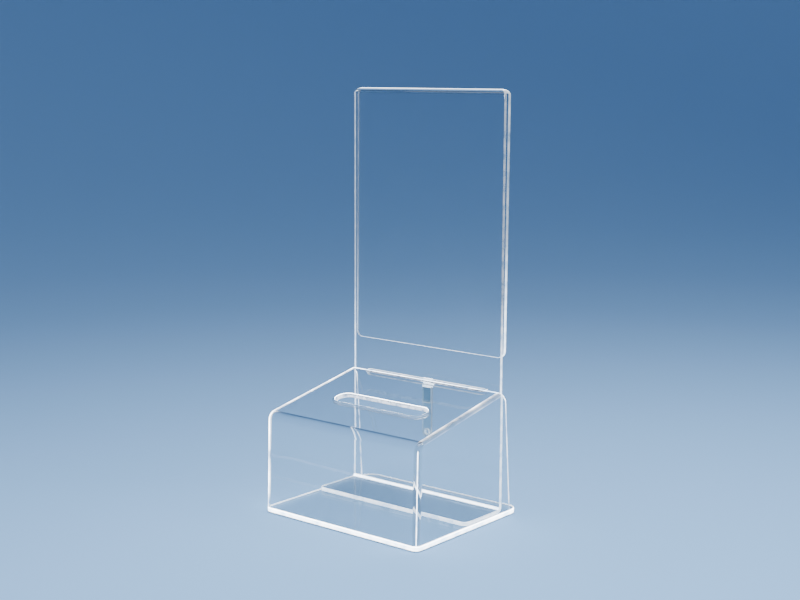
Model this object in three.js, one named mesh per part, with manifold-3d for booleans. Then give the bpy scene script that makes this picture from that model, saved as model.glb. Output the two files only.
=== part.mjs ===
// Countertop ballot box of clear plastic with a tall sign header.
// Units are millimetres, +Z is up, the front faces -Y and +X is to the viewer's right.
// The origin is the middle of the base plate's underside, on the counter it stands on.

import * as THREE from "three";
import { mergeVertices } from "three/addons/utils/BufferGeometryUtils.js";
import Module from "manifold-3d";

const wasm = await Module();
wasm.setup();

// Clearances and working values
const runningGap = 0.3;
const cutOverrun = 6;
const arcSteps = 8;
const cornerSteps = 6;

// Clear sheet that makes the sign header and its foot
const sheetThickness = 2.4;
const panelWidth = 130;
const headerRise = 286.4;
const flapAboveRidge = 22.5;
const foldPitch = 4.9;
const mouthPitch = 3.75;
const panelCorner = 4.5;
const footReach = 39.5;
const footCorner = 4.5;
const floorBendInside = 1.5;

// Moulded case
const wall = 1.5;
const frontToPanel = 92.4;
const frontHeight = 66.6;
const ridgeHeight = 84.7;
const frontDraft = THREE.MathUtils.degToRad(1.3);
const sideDraft = THREE.MathUtils.degToRad(0.15);
const frontBendRadius = 7;
const frontCornerRadius = 4;
const roofEdgeRadius = 3;
const ridgeRadius = 2.5;
const tailShoulderDrop = 6.45;
const tailShoulderReach = 2.2;
const tailFootReach = 8.3;
const tailShoulderRadius = 3;

// Deposit slot in the sloping top
const depositLength = 78.4;
const depositWidth = 14.5;
const depositSetback = 42;
const lipDepth = 3.3;
const lipThickness = 1.4;

// Tongue that the panel's slot hangs over
const tongueWidth = 104;
const tongueThickness = 2;
const tongueBelowRidge = 0.6;
const tongueReach = 3.5;
const tongueRoot = 2;
const tongueCorner = 1.5;
const panelSlotLift = 0.7;
const panelSlotDrop = 2.6;

// Latch strap, its pin and the two ears that hold it
const latchWidth = 7.9;
const latchLength = 41.2;
const latchHeadLength = 16.1;
const latchHeadThickness = 2.4;
const latchStripThickness = 1.5;
const knuckleStandOff = 0.4;
const knuckleRadius = 2.3;
const pinRadius = 0.8;
const pinChamfer = 0.2;
const notchGap = 0.5;
const earThickness = 1.7;
const earWall = 1;
const eyeRadius = 1.7;
const eyeRimWidth = 0.9;
const eyeRimHeight = 0.3;

// Base plate
const baseThickness = 3.5;
const baseMargin = 0.1;
const rearLedge = 20.4;
const baseFrontCorner = 4;
const baseRearCorner = 8.5;
const baseEdge = 0.5;

// Places worked out from the sizes above. The case, panel and latch share one frame: y = 0 is the
// middle of the upright sheet and z = 0 is the base plate's upper face.
const sheetBack = sheetThickness / 2;
const roofEnd = -(sheetBack + runningGap);
const caseFront = -frontToPanel;
const frontTopY = caseFront + frontHeight * Math.tan(frontDraft);
const roofSlope = Math.atan2(ridgeHeight - frontHeight, roofEnd - frontTopY);
const tongueTop = ridgeHeight - tongueBelowRidge;
const tongueUnderside = tongueTop - tongueThickness;
const panelSlotTop = tongueTop + panelSlotLift;
const panelSlotBottom = tongueUnderside - panelSlotDrop;
const pinBehind = sheetBack + knuckleStandOff + knuckleRadius;
const pinHeight = panelSlotBottom + runningGap + knuckleRadius;
const boreRadius = pinRadius + runningGap;
const earRadius = boreRadius + earWall;
const notchHalf = latchWidth / 2 + notchGap;
const notchFront = pinBehind - knuckleRadius - notchGap;
const earOuter = notchHalf + earThickness;
const flapBottom = ridgeHeight + flapAboveRidge;

// Outer half width of the case at a height above the base plate
function caseHalfWidth(height) {
  return panelWidth / 2 + runningGap + wall + (ridgeHeight - height) * Math.tan(sideDraft);
}

// Closed body through a row of sections that run from -X to +X. Each section goes the same way
// round, counter-clockwise seen from +X, with as many points as the others, and has a flat cap.
function loft(sections) {
  const count = sections[0].length;
  const positions = sections.flat().flatMap((point) => [point.x, point.y, point.z]);
  const indices = [];
  for (let section = 0; section < sections.length - 1; section += 1) {
    for (let point = 0; point < count; point += 1) {
      const next = (point + 1) % count;
      const near = section * count;
      const far = near + count;
      indices.push(near + point, near + next, far + next);
      indices.push(near + point, far + next, far + point);
    }
  }
  const outline = sections[0].map((point) => new THREE.Vector2(point.y, point.z));
  const lastRow = (sections.length - 1) * count;
  for (const [a, b, c] of THREE.ShapeUtils.triangulateShape(outline, [])) {
    const turn = THREE.ShapeUtils.area([outline[a], outline[b], outline[c]]);
    const face = turn > 0 ? [a, b, c] : [a, c, b];
    indices.push(face[0], face[2], face[1]);
    indices.push(...face.map((index) => index + lastRow));
  }
  const geometry = new THREE.BufferGeometry();
  geometry.setAttribute("position", new THREE.Float32BufferAttribute(positions, 3));
  geometry.setIndex(indices);
  return geometry;
}

// Straight bar along X from one outline in the YZ plane
function barAlongX(outline, fromX, toX) {
  return loft([fromX, toX].map((x) => outline.map((point) => new THREE.Vector3(x, point.x, point.y))));
}

function toSolid(geometry) {
  const bare = geometry.clone();
  bare.deleteAttribute("normal");
  bare.deleteAttribute("uv");
  const merged = mergeVertices(bare);
  return new wasm.Manifold(new wasm.Mesh({
    numProp: 3,
    vertProperties: new Float32Array(merged.attributes.position.array),
    triVerts: new Uint32Array(merged.index.array),
  }));
}

function toGeometry(solid) {
  const mesh = solid.getMesh();
  const geometry = new THREE.BufferGeometry();
  geometry.setAttribute("position", new THREE.BufferAttribute(mesh.vertProperties, 3));
  geometry.setIndex(new THREE.BufferAttribute(mesh.triVerts, 1));
  geometry.computeVertexNormals();
  return geometry;
}

// Box between two corners
function block(low, high) {
  const size = new THREE.Vector3().subVectors(high, low);
  const centre = new THREE.Vector3().addVectors(low, high).divideScalar(2);
  const geometry = new THREE.BoxGeometry(size.x, size.y, size.z);
  geometry.translate(centre.x, centre.y, centre.z);
  return toSolid(geometry);
}

// Round bar along X or along Y through a point
function roundBar(radius, length, centre, direction) {
  const geometry = new THREE.CylinderGeometry(radius, radius, length, arcSteps * 4);
  if (direction === "x") {
    geometry.rotateZ(Math.PI / 2);
  }
  geometry.translate(centre.x, centre.y, centre.z);
  return toSolid(geometry);
}

// Points of an arc that rounds a corner between two straight runs
function roundedCorner(before, corner, after, radius, steps) {
  const inward = before.clone().sub(corner).normalize();
  const onward = after.clone().sub(corner).normalize();
  const halfAngle = Math.acos(inward.dot(onward)) / 2;
  const middle = inward.clone().add(onward).normalize();
  const centre = corner.clone().addScaledVector(middle, radius / Math.sin(halfAngle));
  const start = corner.clone().addScaledVector(inward, radius / Math.tan(halfAngle));
  const firstAngle = Math.atan2(start.y - centre.y, start.x - centre.x);
  const turn = Math.sign(onward.cross(inward)) * (Math.PI - 2 * halfAngle);
  const points = [];
  for (let step = 0; step <= steps; step += 1) {
    const angle = firstAngle + turn * (step / steps);
    const point = new THREE.Vector2(Math.cos(angle), Math.sin(angle));
    points.push(point.multiplyScalar(radius).add(centre));
  }
  return points;
}

// Point where two straight lines meet, each given by a point and a direction
function meeting(firstPoint, firstWay, secondPoint, secondWay) {
  const between = secondPoint.clone().sub(firstPoint);
  const along = between.cross(secondWay) / firstWay.cross(secondWay);
  return firstPoint.clone().addScaledVector(firstWay, along);
}

// Base plate: a flat plate with round corners and a small bevel all round
function basePlate(width, depth) {
  const halfWidth = width / 2 - baseEdge;
  const halfDepth = depth / 2 - baseEdge;
  const front = baseFrontCorner - baseEdge;
  const rear = baseRearCorner - baseEdge;
  const outline = new THREE.Shape();
  outline.moveTo(-halfWidth + front, -halfDepth);
  outline.absarc(halfWidth - front, -halfDepth + front, front, -Math.PI / 2, 0);
  outline.absarc(halfWidth - rear, halfDepth - rear, rear, 0, Math.PI / 2);
  outline.absarc(-halfWidth + rear, halfDepth - rear, rear, Math.PI / 2, Math.PI);
  outline.absarc(-halfWidth + front, -halfDepth + front, front, Math.PI, Math.PI * 1.5);
  const geometry = new THREE.ExtrudeGeometry(outline, {
    depth: baseThickness - 2 * baseEdge,
    bevelThickness: baseEdge,
    bevelSize: baseEdge,
    bevelSegments: 2,
    curveSegments: arcSteps,
  });
  geometry.translate(0, 0, baseEdge);
  return toGeometry(toSolid(geometry));
}

// One section of the case for the loft. The front wall and the roof are set in from their outer
// faces by frontInset and roofInset, and the section stands edgeDepth in from the side face.
// The outer form has its ridge and its side walls' tail; the hollow runs straight out of the back.
function caseSection(frontInset, roofInset, sideInset, edgeShare, corner, hollow) {
  const up = new THREE.Vector2(Math.sin(frontDraft), Math.cos(frontDraft));
  const back = new THREE.Vector2(Math.cos(roofSlope), Math.sin(roofSlope));
  const frontPoint = new THREE.Vector2(caseFront + frontInset / Math.cos(frontDraft), 0);
  const roofPoint = new THREE.Vector2(frontTopY, frontHeight - roofInset / Math.cos(roofSlope));
  const frontTop = meeting(frontPoint, up, roofPoint, back);
  const floor = hollow ? -cutOverrun : 0;
  const frontFoot = frontPoint.clone().addScaledVector(up, floor / up.y);
  const bend = frontBendRadius - (frontInset + roofInset) / 2;
  const tailFoot = new THREE.Vector2(sheetBack + tailFootReach, floor);
  const shoulder = new THREE.Vector2(sheetBack + tailShoulderReach, ridgeHeight - tailShoulderDrop);
  const ridge = new THREE.Vector2(roofEnd, ridgeHeight);
  const across = new THREE.Vector2(0, 1);
  let rear;
  if (hollow) {
    tailFoot.x += cutOverrun;
    rear = [tailFoot, meeting(tailFoot, across, roofPoint, back)];
  } else {
    const crest = meeting(ridge, shoulder.clone().sub(ridge), roofPoint, back);
    rear = [
      tailFoot,
      ...roundedCorner(tailFoot, shoulder, crest, tailShoulderRadius, cornerSteps),
      ...roundedCorner(shoulder, crest, frontTop, ridgeRadius, cornerSteps),
    ];
  }
  const bendPoints = roundedCorner(rear.at(-1), frontTop, frontFoot, bend, arcSteps);
  const points = [...rear, ...bendPoints, frontFoot];
  return points.map((point, index) => {
    const past = THREE.MathUtils.clamp((index - rear.length) / arcSteps, 0, 1);
    const edge = THREE.MathUtils.lerp(corner.roof, corner.front, past);
    return new THREE.Vector3(caseHalfWidth(point.y) - sideInset - edge * edgeShare, point.x, point.y);
  });
}

// The case as a loft across its width. Towards each side the sections draw in along quarter
// circles, so the vertical corners, the roof's edges and the front bend flow into each other.
function caseForm(hollow) {
  const inset = hollow ? wall : 0;
  const corner = { front: frontCornerRadius - inset, roof: roofEdgeRadius - inset };
  const side = [];
  for (let step = 0; step <= cornerSteps; step += 1) {
    const angle = (Math.PI / 2) * (step / cornerSteps);
    const drawIn = 1 - Math.sin(angle);
    const frontInset = inset + corner.front * drawIn;
    const roofInset = inset + corner.roof * drawIn;
    side.push(caseSection(frontInset, roofInset, inset, 1 - Math.cos(angle), corner, hollow));
  }
  const mirrored = (point) => new THREE.Vector3(-point.x, point.y, point.z);
  const left = side.map((section) => section.map(mirrored));
  return toSolid(loft([...left, ...side.reverse()]));
}

// Long bar with full round ends, square to the sloping top at the deposit slot's place. It stands
// out past the slot's edge by margin and runs from one depth below the top face to another.
function depositBar(margin, fromDepth, toDepth) {
  const radius = depositWidth / 2 + margin;
  const half = (depositLength - depositWidth) / 2;
  const outline = new THREE.Shape();
  outline.absarc(half, 0, radius, -Math.PI / 2, Math.PI / 2);
  outline.absarc(-half, 0, radius, Math.PI / 2, Math.PI * 1.5);
  const geometry = new THREE.ExtrudeGeometry(outline, {
    depth: fromDepth - toDepth,
    bevelEnabled: false,
    curveSegments: arcSteps * 2,
  });
  geometry.translate(0, 0, -fromDepth);
  geometry.rotateX(roofSlope);
  geometry.translate(0, frontTopY + depositSetback, frontHeight + depositSetback * Math.tan(roofSlope));
  return toSolid(geometry);
}

// Tongue at the ridge, rooted in the roof's rear edge
function tongue() {
  const root = roofEnd - tongueRoot;
  const tip = sheetBack + tongueReach;
  const half = tongueWidth / 2;
  const outline = new THREE.Shape();
  outline.moveTo(-half, root);
  outline.lineTo(half, root);
  outline.absarc(half - tongueCorner, tip - tongueCorner, tongueCorner, 0, Math.PI / 2);
  outline.absarc(-half + tongueCorner, tip - tongueCorner, tongueCorner, Math.PI / 2, Math.PI);
  const geometry = new THREE.ExtrudeGeometry(outline, {
    depth: tongueThickness,
    bevelEnabled: false,
    curveSegments: cornerSteps,
  });
  geometry.translate(0, 0, tongueUnderside);
  return toSolid(geometry);
}

// One ear on the tongue: a round lug beside the latch's notch
function ear(side) {
  const middle = new THREE.Vector3((side * (notchHalf + earOuter)) / 2, pinBehind, pinHeight);
  return roundBar(earRadius, earThickness, middle, "x");
}

// Moulded case: outer form less its hollow and the panel's way in, with a lip turned down all
// round the deposit slot and the tongue at the ridge
function caseShell() {
  const innerHalf = caseHalfWidth(ridgeHeight) - wall;
  const wayIn = block(
    new THREE.Vector3(-innerHalf, roofEnd, ridgeHeight - frontHeight),
    new THREE.Vector3(innerHalf, sheetBack + tailFootReach + cutOverrun, ridgeHeight + cutOverrun),
  );
  const notch = block(
    new THREE.Vector3(-notchHalf, notchFront, panelSlotBottom),
    new THREE.Vector3(notchHalf, pinBehind + cutOverrun, panelSlotTop),
  );
  const pinCentre = new THREE.Vector3(0, pinBehind, pinHeight);
  const pinHole = roundBar(boreRadius, 2 * (earOuter + cutOverrun), pinCentre, "x");
  const shell = caseForm(false)
    .subtract(caseForm(true))
    .subtract(wayIn)
    .add(depositBar(lipThickness, lipDepth, wall / 2))
    .subtract(depositBar(0, lipDepth + cutOverrun, -cutOverrun));
  const ridgeWork = tongue().add(ear(-1)).add(ear(1)).subtract(pinHole);
  return toGeometry(shell.add(ridgeWork).subtract(notch));
}

// Middle line of the bent sheet, with the way it runs at each point: from the foot's front edge
// back along the floor, round the floor bend, up, over the fold and down the sign pocket's flap
function sheetMiddleLine() {
  const half = sheetThickness / 2;
  const bend = floorBendInside + half;
  const floor = runningGap + half;
  const fold = foldPitch / 2;
  const foldHeight = headerRise - half - fold;
  const lean = Math.atan2(foldPitch - mouthPitch, foldHeight - flapBottom);
  const line = [{ y: -footReach, z: floor, way: 0 }];
  for (let step = 0; step <= arcSteps; step += 1) {
    const angle = (Math.PI / 2) * (step / arcSteps);
    const z = floor + bend - bend * Math.cos(angle);
    line.push({ y: -bend + bend * Math.sin(angle), z, way: angle });
  }
  for (let step = 0; step <= 2 * arcSteps; step += 1) {
    const angle = Math.PI - (Math.PI + lean) * (step / (2 * arcSteps));
    const z = foldHeight + fold * Math.sin(angle);
    line.push({ y: fold + fold * Math.cos(angle), z, way: angle - Math.PI / 2 });
  }
  line.push({ y: mouthPitch, z: flapBottom, way: -Math.PI / 2 - lean });
  return line;
}

// Tool that rounds a square corner: what lies outside a quarter circle. It is drawn in the XZ plane
// for the corner at (x, z), which points to sideways and upwards, and runs along Y.
function cornerTool(x, z, sideways, upwards, radius, fromY, toY) {
  const outline = new THREE.Shape();
  const reach = radius + cutOverrun;
  outline.moveTo(0, radius);
  for (let step = 1; step <= arcSteps; step += 1) {
    const angle = (Math.PI / 2) * (1 - step / arcSteps);
    outline.lineTo(radius * Math.cos(angle), radius * Math.sin(angle));
  }
  outline.lineTo(reach, 0);
  outline.lineTo(reach, reach);
  outline.lineTo(0, reach);
  const geometry = new THREE.ExtrudeGeometry(outline, { depth: toY - fromY, bevelEnabled: false });
  geometry.rotateX(Math.PI / 2);
  geometry.translate(0, toY, 0);
  if (upwards < 0) {
    geometry.translate(0, -(fromY + toY) / 2, 0);
    geometry.rotateX(Math.PI);
    geometry.translate(0, (fromY + toY) / 2, 0);
  }
  if (sideways < 0) {
    geometry.translate(0, -(fromY + toY) / 2, 0);
    geometry.rotateZ(Math.PI);
    geometry.translate(0, (fromY + toY) / 2, 0);
  }
  geometry.translate(x - sideways * radius, 0, z - upwards * radius);
  return toSolid(geometry);
}

// Sign panel: one clear sheet with its fold and its slot, which the tongue and the latch pass
function signPanel() {
  const half = sheetThickness / 2;
  const line = sheetMiddleLine();
  const offset = (side) => line.map(({ y, z, way }) => (
    new THREE.Vector2(y - side * half * Math.sin(way), z + side * half * Math.cos(way))
  ));
  const outline = [...offset(-1), ...offset(1).reverse()];
  let sheet = toSolid(barAlongX(outline, -panelWidth / 2, panelWidth / 2));
  const slot = new THREE.Shape();
  const slotRadius = (panelSlotTop - panelSlotBottom) / 2;
  const slotMiddle = (panelSlotTop + panelSlotBottom) / 2;
  const roundEnd = slotRadius - Math.sqrt(slotRadius ** 2 - (tongueTop - slotMiddle) ** 2);
  const slotHalf = tongueWidth / 2 + runningGap + roundEnd;
  slot.absarc(slotHalf - slotRadius, 0, slotRadius, -Math.PI / 2, Math.PI / 2);
  slot.absarc(-slotHalf + slotRadius, 0, slotRadius, Math.PI / 2, Math.PI * 1.5);
  const slotDepth = sheetThickness + 2 * runningGap;
  const slotTool = new THREE.ExtrudeGeometry(slot, {
    depth: slotDepth,
    bevelEnabled: false,
    curveSegments: arcSteps,
  });
  slotTool.rotateX(Math.PI / 2);
  slotTool.translate(0, slotDepth / 2, slotMiddle);
  sheet = sheet.subtract(toSolid(slotTool));
  const pocketMiddle = (sheetBack + mouthPitch - half) / 2;
  const behind = foldPitch + cutOverrun;
  for (const sideways of [-1, 1]) {
    const edge = (sideways * panelWidth) / 2;
    sheet = sheet
      .subtract(cornerTool(edge, headerRise, sideways, 1, panelCorner, -cutOverrun, behind))
      .subtract(cornerTool(edge, flapBottom, sideways, -1, panelCorner, pocketMiddle, behind))
      .subtract(footCornerTool(edge, sideways));
  }
  return toGeometry(sheet);
}

// Tool for one front corner of the foot, upright beside the sheet's end
function footCornerTool(edge, sideways) {
  const outline = new THREE.Shape();
  const reach = footCorner + cutOverrun;
  outline.moveTo(0, -footCorner);
  for (let step = 1; step <= arcSteps; step += 1) {
    const angle = (-Math.PI / 2) * (1 - step / arcSteps);
    outline.lineTo(sideways * footCorner * Math.cos(angle), footCorner * Math.sin(angle));
  }
  outline.lineTo(sideways * reach, 0);
  outline.lineTo(sideways * reach, -reach);
  outline.lineTo(0, -reach);
  const geometry = new THREE.ExtrudeGeometry(outline, { depth: 2 * cutOverrun, bevelEnabled: false });
  geometry.translate(edge - sideways * footCorner, -footReach + footCorner, -cutOverrun);
  return toSolid(geometry);
}

// Latch strap: knuckle, thick head, thin strip and a rimmed finger eye in its round lower end. It
// hangs straight down from its pin behind the sheet, and level it is no higher than the slot.
function latchStrap() {
  const half = latchWidth / 2;
  const pinCentre = new THREE.Vector3(0, pinBehind, pinHeight);
  const eyeCentre = new THREE.Vector3(0, pinBehind, pinHeight - latchLength + half);
  const slab = (thickness, bottom) => block(
    new THREE.Vector3(-half, pinBehind - thickness / 2, bottom),
    new THREE.Vector3(half, pinBehind + thickness / 2, pinHeight),
  );
  const rimLength = latchStripThickness + 2 * eyeRimHeight;
  const bore = roundBar(boreRadius, latchWidth + 2 * cutOverrun, pinCentre, "x");
  const eye = roundBar(eyeRadius, latchStripThickness + 2 * cutOverrun, eyeCentre, "y");
  const strap = roundBar(knuckleRadius, latchWidth, pinCentre, "x")
    .add(slab(latchHeadThickness, pinHeight - latchHeadLength))
    .add(slab(latchStripThickness, eyeCentre.z))
    .add(roundBar(half, latchStripThickness, eyeCentre, "y"))
    .add(roundBar(eyeRadius + eyeRimWidth, rimLength, eyeCentre, "y"));
  return toGeometry(strap.subtract(eye).subtract(bore));
}

// Latch pin: a plain round pin, chamfered at both ends, as long as the ears are apart
function latchPin() {
  const half = earOuter;
  const profile = [
    new THREE.Vector2(0, -half),
    new THREE.Vector2(pinRadius - pinChamfer, -half),
    new THREE.Vector2(pinRadius, -half + pinChamfer),
    new THREE.Vector2(pinRadius, half - pinChamfer),
    new THREE.Vector2(pinRadius - pinChamfer, half),
    new THREE.Vector2(0, half),
  ];
  const geometry = new THREE.LatheGeometry(profile, arcSteps * 2);
  geometry.rotateZ(-Math.PI / 2);
  geometry.translate(0, pinBehind, pinHeight);
  return geometry;
}

const clearPlastic = { roughness: 0.08, metalness: 0, transparent: true, opacity: 0.35 };

function addPiece(group, name, geometry, color) {
  const piece = new THREE.Mesh(geometry, new THREE.MeshStandardMaterial({ ...clearPlastic, color }));
  piece.name = name;
  group.add(piece);
}

const baseWidth = 2 * (caseHalfWidth(0) + baseMargin);
const baseDepth = frontToPanel + baseMargin + rearLedge;

const ballotBox = new THREE.Group();
addPiece(ballotBox, "base_plate", basePlate(baseWidth, baseDepth), 0xdfe9ee);

const onBase = new THREE.Group();
onBase.position.set(0, baseDepth / 2 - rearLedge, baseThickness);
addPiece(onBase, "case_shell", caseShell(), 0xe6eff3);
addPiece(onBase, "sign_panel", signPanel(), 0xe3edf2);
addPiece(onBase, "latch_strap", latchStrap(), 0xa9bcc0);
addPiece(onBase, "latch_pin", latchPin(), 0xd8dcde);
ballotBox.add(onBase);

export default ballotBox;
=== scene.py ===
# %% [markdown]
# A clear ballot box with a tall sign header
#
# This lesson builds a small countertop ballot box of colourless clear plastic. Everything is
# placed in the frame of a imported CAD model, so the first step loads that frame. After that each
# piece is drawn by mesh code in the place of its CAD solid, and rides on its body.

# %% Load the frame
import math

import bmesh
import bpy
from mathutils import Matrix, Vector


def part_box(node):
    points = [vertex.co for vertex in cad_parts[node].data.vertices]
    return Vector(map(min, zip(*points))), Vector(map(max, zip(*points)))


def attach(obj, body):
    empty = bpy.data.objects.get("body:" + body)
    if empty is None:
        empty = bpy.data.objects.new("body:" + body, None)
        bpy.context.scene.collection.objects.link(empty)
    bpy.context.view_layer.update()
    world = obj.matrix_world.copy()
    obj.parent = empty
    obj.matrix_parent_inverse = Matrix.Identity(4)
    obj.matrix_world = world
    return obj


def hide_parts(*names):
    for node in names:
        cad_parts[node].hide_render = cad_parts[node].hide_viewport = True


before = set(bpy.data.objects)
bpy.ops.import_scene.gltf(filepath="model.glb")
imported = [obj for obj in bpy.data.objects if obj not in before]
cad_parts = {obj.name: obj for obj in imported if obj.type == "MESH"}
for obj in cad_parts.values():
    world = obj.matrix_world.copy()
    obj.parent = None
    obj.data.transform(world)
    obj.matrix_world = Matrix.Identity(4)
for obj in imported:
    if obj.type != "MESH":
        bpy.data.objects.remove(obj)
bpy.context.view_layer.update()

print("nodes:", list(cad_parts))

# %% [markdown]
# The camera comes first, because every later choice of light and finish is judged through it.
# The photograph was taken from the front right, with a longish lens held just above the height
# of the header's top. Four numbers say how it looks: how far round it stands, how steeply it looks
# down, the small roll of the hand-held frame, and the focal length. A rotation about Z, then one
# about X, then one about the camera's own axis puts them together in that order.

# %% Camera
CAMERA_PLACE = (0.5995, -0.72355, 0.2996)
CAMERA_ROUND = math.radians(39.35)
CAMERA_DOWN = math.radians(9.14)
CAMERA_ROLL = math.radians(0.22)
LENS_MM = 63.3


def into_scene(name, data):
    """A new object in the scene."""
    thing = bpy.data.objects.new(name, data)
    bpy.context.scene.collection.objects.link(thing)
    return thing


def make_camera():
    data = bpy.data.cameras.new("camera")
    data.lens = LENS_MM
    data.sensor_width = 36
    data.clip_start = 0.02
    data.clip_end = 60
    camera = into_scene("camera", data)
    turn = Matrix.Rotation(CAMERA_ROUND, 4, "Z")
    tip = Matrix.Rotation(math.pi / 2 - CAMERA_DOWN, 4, "X")
    roll = Matrix.Rotation(CAMERA_ROLL, 4, "Z")
    camera.matrix_world = Matrix.Translation(CAMERA_PLACE) @ turn @ tip @ roll
    bpy.context.scene.camera = camera
    return camera


camera = make_camera()
print("camera", tuple(round(c, 3) for c in camera.location), "lens", LENS_MM)

# %% [markdown]
# Sizes are written in millimetres. The base plate's place is read from the frame: its top
# carries everything, and the upright sheet stands a fixed ledge in front of its rear edge. All
# shapes are drawn from those two, with y = 0 on the sheet's middle plane and z = 0 on the plate's
# top, and one matrix at the end moves each finished mesh into the frame's metres. GAP is the play
# between pieces that fit together, and OVERRUN is how far a cutter sticks out of what it cuts.

# %% Shared places and sizes
MM = 0.001
plate_low, plate_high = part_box("base_plate")
REAR_LEDGE = 20.4
PLATE_TOP = plate_high[2]
SHEET_PLANE = plate_high[1] - REAR_LEDGE * MM
TO_FRAME = Matrix.Translation((0, SHEET_PLANE, PLATE_TOP)) @ Matrix.Scale(MM, 4)

GAP = 0.3
OVERRUN = 6
SHEET = 2.4
SHEET_BACK = SHEET / 2
PANEL_WIDTH = 130
RIDGE_HEIGHT = 84.7
FRONT_HEIGHT = 66.6
ARC_STEPS = 12
FACE, RIM, PAINTED_LINE, CORNER, EXTRA, HIDDEN = range(6)
print("plate top", round(PLATE_TOP, 5), "sheet plane", round(SHEET_PLANE, 5))

# %% [markdown]
# Almost every shape here is a flat outline pushed along one axis: the plate, the sheet, the slot
# cutters, the ears. One helper takes the outline's points in the plane across the axis and makes
# a closed mesh with a cap at each end. Another draws a closed skin over any row of outlines with
# the same number of points, which the moulded case needs. The number on each face says which
# finish it gets: a clear face, a pale rim with a painted glow, a painted bright line along an
# edge, a rounded corner with a painted glint, or one of two spare numbers for what only one piece
# has. A cutter's faces mostly carry the rim's number, so what it cuts comes out with a pale cut
# edge that has a painted glow.

# %% Outlines, prisms and lofts
WELD = 1e-5
ACROSS = {
    "x": lambda u, v, w: Vector((w, u, v)),
    "y": lambda u, v, w: Vector((u, w, v)),
    "z": lambda u, v, w: Vector((u, v, w)),
}


def arc(cu, cv, radius, start, end, steps=ARC_STEPS):
    """Points of an arc in degrees, both ends included."""
    turns = [math.radians(start + (end - start) * i / steps) for i in range(steps + 1)]
    return [(cu + radius * math.cos(t), cv + radius * math.sin(t)) for t in turns]


def skin(rows, finish=FACE):
    """A closed mesh through rows of points that all go round the same way."""
    mesh = bmesh.new()
    rings = [[mesh.verts.new(point) for point in row] for row in rows]
    count = len(rings[0])
    for near, far in zip(rings, rings[1:]):
        for i in range(count):
            j = (i + 1) % count
            mesh.faces.new((near[i], near[j], far[j], far[i]))
    mesh.faces.new(rings[0])
    mesh.faces.new(reversed(rings[-1]))
    bmesh.ops.remove_doubles(mesh, verts=mesh.verts, dist=WELD)
    bmesh.ops.recalc_face_normals(mesh, faces=mesh.faces)
    for face in mesh.faces:
        face.material_index = finish
    return mesh


def prism(outline, axis, start, end, finish=FACE):
    """An outline pushed along an axis from start to end."""
    place = ACROSS[axis]
    return skin([[place(u, v, w) for u, v in outline] for w in (start, end)], finish)


def block(low, high):
    """A box-shaped cutter between two opposite corners."""
    outline = [(low[0], low[1]), (high[0], low[1]), (high[0], high[1]), (low[0], high[1])]
    return prism(outline, "z", low[2], high[2], RIM)


def disc(axis, cu, cv, radius, start, end, finish=FACE, steps=48):
    """A round bar or plate with its middle at (cu, cv)."""
    return prism(arc(cu, cv, radius, 0, 360, steps)[:-1], axis, start, end, finish)


print("helpers ready")

# %% [markdown]
# Holes and joins are made with Boolean modifiers. Blender's exact solver keeps the meshes closed,
# and on clear plastic that matters most: light is followed through every wall, so one missing
# face shows at once. The modifiers are then thrown away, and only the finished mesh is kept.

# %% Booleans
def scratch(name, mesh):
    """An object for modifiers to work on, with a material slot for each face number."""
    data = bpy.data.meshes.new(name)
    mesh.to_mesh(data)
    mesh.free()
    for _ in range(HIDDEN + 1):
        data.materials.append(None)
    return into_scene(name, data)


def worked_out(thing):
    """The mesh that the object's modifiers give, as a bmesh; the object is removed."""
    graph = bpy.context.evaluated_depsgraph_get()
    graph.update()
    data = bpy.data.meshes.new_from_object(thing.evaluated_get(graph), depsgraph=graph)
    mesh = bmesh.new()
    mesh.from_mesh(data)
    bpy.data.meshes.remove(data)
    bpy.data.objects.remove(thing)
    return mesh


def carve(mesh, tool, how="DIFFERENCE"):
    """One Boolean step: mesh minus tool, or mesh joined with tool."""
    thing = scratch("carved", mesh)
    other = scratch("tool", tool)
    step = thing.modifiers.new("carve", "BOOLEAN")
    step.operation = how
    step.solver = "EXACT"
    step.material_mode = "INDEX"
    step.object = other
    result = worked_out(thing)
    bpy.data.objects.remove(other)
    return result


print("booleans ready")

# %% [markdown]
# Moulded and polished edges are never razor sharp, and it is their little round that catches
# light. A bevel modifier adds it, and its new faces get the painted bright line. First the edges
# that a Boolean leaves across flat faces are dissolved. Then each sharp edge gets a bevel weight,
# but only if it has room: beside a very short edge a bevel would fold over itself. The sharp edges
# are marked too, and a modifier for weighted normals keeps the broad faces flat in their shading,
# because on clear plastic a face that is shaded a little round bends everything seen through it.

# %% Bevels
FLAT = 1e-3
STRAIGHT = math.radians(0.05)
ROOM_FOR_BEVEL = 1.2


def is_needless(edge):
    """True for an edge between two faces that lie flat and have the same finish."""
    if not edge.is_manifold or edge.calc_face_angle() > FLAT:
        return False
    return edge.link_faces[0].material_index == edge.link_faces[1].material_index


def has_room(edge, width):
    """True for an edge that has no very short neighbour."""
    around = [near for vert in edge.verts for near in vert.link_edges]
    return min(near.calc_length() for near in around) > ROOM_FOR_BEVEL * width


def smooth(data):
    for face in data.polygons:
        face.use_smooth = True


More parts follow.
